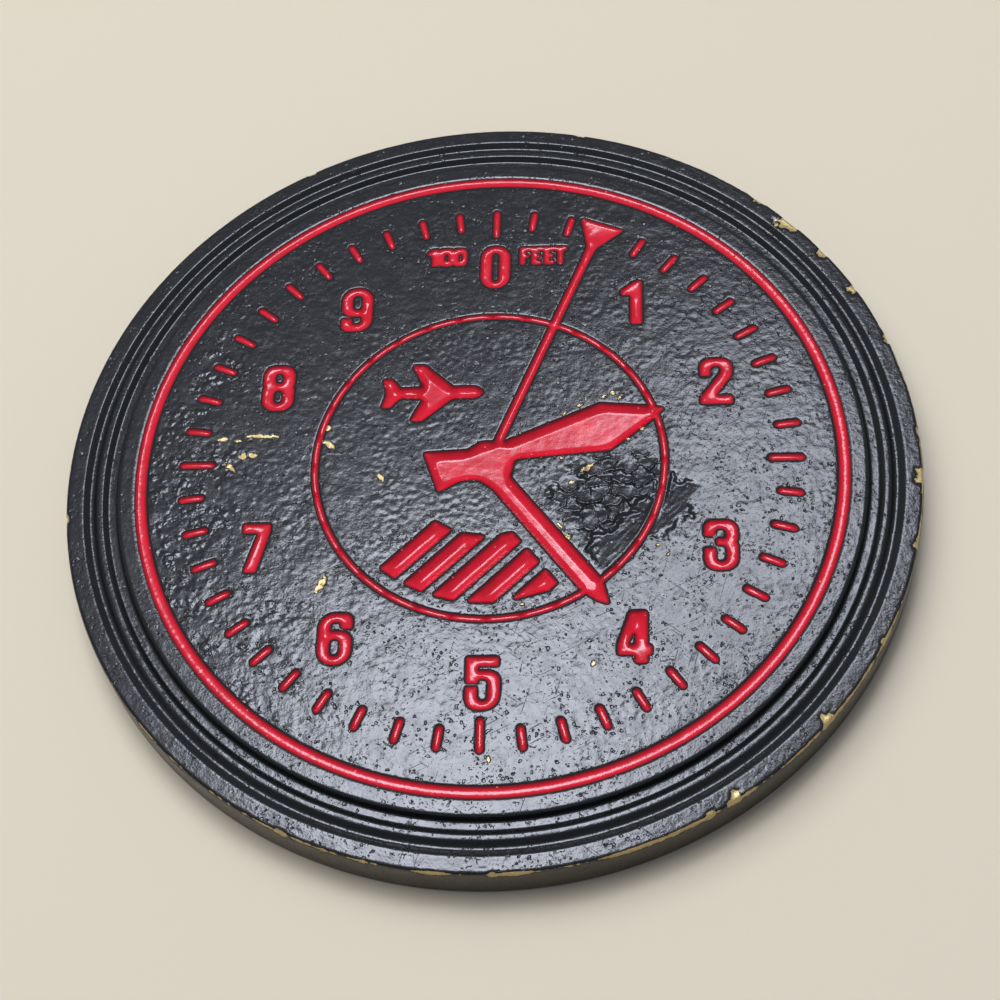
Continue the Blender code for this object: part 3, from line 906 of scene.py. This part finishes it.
def lacquer_finish():
    """Thick gloss black lacquer: pits, craters, leather, scratches, and brass in its chips."""
    s = Shader("black_lacquer")
    chip, side = s.attribute("chip"), s.attribute("side")
    ragged = s.math("SUBTRACT", s.noise(0.22, 3, 0.6), 0.5)
    bare = s.ramp(s.math("ADD", chip, s.math("MULTIPLY", ragged, 0.5)), 0.0, 0.06)

    pit_patches = s.ramp(s.noise(2.6, 4, 0.65), 0.42, 0.72, (0.22, 0.09))
    pits = s.ramp(s.math("SUBTRACT", s.noise(0.30, 2, 0.6), pit_patches), 0.45, 0.53)

    turbulence = s("TexNoise", output=1, Vector=s.mm, Scale=2.0, Detail=1.0)
    bent = s.moved(turbulence, BEND)
    near_cells = s.math("MULTIPLY", s.attribute("shore"), 0.16)
    crater_patches = s.ramp(s.math("ADD", s.noise(1.9, 3, 0.6), near_cells), 0.50, 0.64)
    crater_cells = s("TexVoronoi", Vector=bent, Scale=1 / CRATER_SIZE, Randomness=1.0)
    craters = s.math("MULTIPLY", s.ramp(crater_cells, 0.16, 0.34, (1.0, 0.0)), crater_patches)

    leather_cells = s("TexVoronoi", Vector=bent, Scale=1 / LEATHER_SIZE, Randomness=1.0)
    leather = s.math("MULTIPLY", s.ramp(leather_cells, 0.1, 0.6), s.attribute("leathery"))

    lines = scratches(s)
    normal = s.bumps(
        (s.noise(0.42, 2, 0.55), 0.014),
        (s.noise(0.16, 2, 0.6), 0.002),
        (leather, -0.030),
        (craters, -0.030),
        (pits, -0.02),
        (lines, -0.012),
        (bare, -0.02),
    )

    tint = s.mix(s.noise(3.0, 3), *LACQUER_TINTS)
    tint = s.mix(side, tint, s.mix(s.noise(0.8, 3), *SIDE_TINTS))
    brass = s.mix(s.noise(0.35, 3, 0.7), *BRASS_TINTS)
    rough = s.ramp(s.noise(1.6, 4, 0.65), 0.35, 0.7, (0.08, 0.17))
    for where, more in ((side, 0.25), (s.math("MAXIMUM", pits, lines), 0.2), (bare, 0.16)):
        rough = s.math("ADD", rough, s.math("MULTIPLY", where, more))
    return s.done(
        Base_Color=s.mix(bare, tint, brass),
        Roughness=rough,
        Metallic=s.math("MULTIPLY", bare, 0.6),
        IOR=1.52,
        Normal=normal,
    )


def enamel_finish():
    """Glossy red enamel, with painted shade that darkens it near its walls, a slow waviness and a
    little dust in it.
    """
    s = Shader("red_enamel")
    specks = s("TexVoronoi", Vector=s.mm, Scale=0.9, Randomness=1.0)
    dust = s.ramp(specks, 0.05, 0.09, (1.0, 0.0))
    red = s.mix(s.ramp(s.noise(1.6, 3), 0.3, 0.7), *ENAMEL_TINTS)
    # Painted shade: the red darkens towards the walls, by how far each point lies inwards from
    # them.
    red = s.mix(s.ramp(s.attribute("inwards"), 0.02, 0.30), ENAMEL_PAINTED_WALL_SHADE, red)
    return s.done(
        Base_Color=s.mix(s.math("MULTIPLY", dust, 0.5), red, DUST_TINT),
        Roughness=s.ramp(s.noise(1.2, 3, 0.6), 0.3, 0.75, (0.06, 0.14)),
        IOR=1.5,
        Normal=s.bumps((s.noise(0.9, 2), 0.016), (s.noise(0.2, 2), 0.0015), (dust, 0.012)),
    )


def floor_finish():
    return Shader("pale_floor").done(Base_Color=FLOOR_TINT, Roughness=0.8)


LACQUER, ENAMEL = "black_lacquered_brass", "red_enamel"
FINISHES = {LACQUER: lacquer_finish(), ENAMEL: enamel_finish()}


# Stage


def build_floor():
    """A plain pale square."""
    mesh = bpy.data.meshes.new("floor")
    low, high = -FLOOR_REACH, FLOOR_REACH
    corners = [(low, low, 0), (high, low, 0), (high, high, 0), (low, high, 0)]
    mesh.from_pydata(corners, [], [(0, 1, 2, 3)])
    mesh.materials.append(floor_finish())
    floor = bpy.data.objects.new("floor", mesh)
    bpy.context.scene.collection.objects.link(floor)
    floor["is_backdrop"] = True


def build_camera():
    lens = bpy.data.cameras.new("camera")
    lens.lens, lens.sensor_width = LENS, FRAME_WIDTH
    lens.clip_start = 0.005
    camera = bpy.data.objects.new("camera", lens)
    camera.location = Vector(CAMERA_PLACE) * MM
    camera.rotation_euler = [radians(a) for a in CAMERA_ANGLES]
    bpy.context.scene.collection.objects.link(camera)
    bpy.context.scene.camera = camera


def window(tree, towards, stops):
    """Light from one window: a strength for each angle away from its direction."""
    coordinates = tree.nodes.new("ShaderNodeTexCoord")
    dot = tree.nodes.new("ShaderNodeVectorMath")
    dot.operation = "DOT_PRODUCT"
    dot.inputs[1].default_value = Vector(towards).normalized()
    tree.links.new(coordinates.outputs["Generated"], dot.inputs[0])
    ramp = tree.nodes.new("ShaderNodeValToRGB")
    tree.links.new(dot.outputs["Value"], ramp.inputs[0])
    elements = ramp.color_ramp.elements
    for k, (away, strength) in enumerate(stops):
        at = cos(radians(away))
        stop = elements[k] if k < 2 else elements.new(at)
        stop.position = at
        stop.color = (*(strength * share for share in ROOM_TINT), 1)
    return ramp.outputs[0]


def build_room():
    """The room that the lacquer mirrors: dim, with two soft windows that add up."""
    world = bpy.data.worlds.new("room")
    world.use_nodes = True
    bpy.context.scene.world = world
    tree = world.node_tree
    both = tree.nodes.new("ShaderNodeVectorMath")
    for socket, (towards, stops) in zip(both.inputs, WINDOWS):
        tree.links.new(window(tree, towards, stops), socket)
    tree.links.new(both.outputs[0], tree.nodes["Background"].inputs[0])
    bpy.context.scene.view_settings.view_transform = "Standard"


def build_softbox():
    """A soft light for the floor and the colours, which the gloss doesn't mirror."""
    soft = bpy.data.lights.new("softbox", "AREA")
    soft.size, soft.energy = SOFTBOX_SIZE, SOFTBOX_POWER
    softbox = bpy.data.objects.new("softbox", soft)
    softbox.location = SOFTBOX_PLACE
    softbox.rotation_euler = Vector(SOFTBOX_PLACE).to_track_quat("Z", "Y").to_euler()
    softbox.visible_glossy = False
    bpy.context.scene.collection.objects.link(softbox)


build_dial()
build_rim()
build_floor()
build_camera()
build_room()
build_softbox()

[[list(corner) for corner in box] for box in (cad_box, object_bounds())]
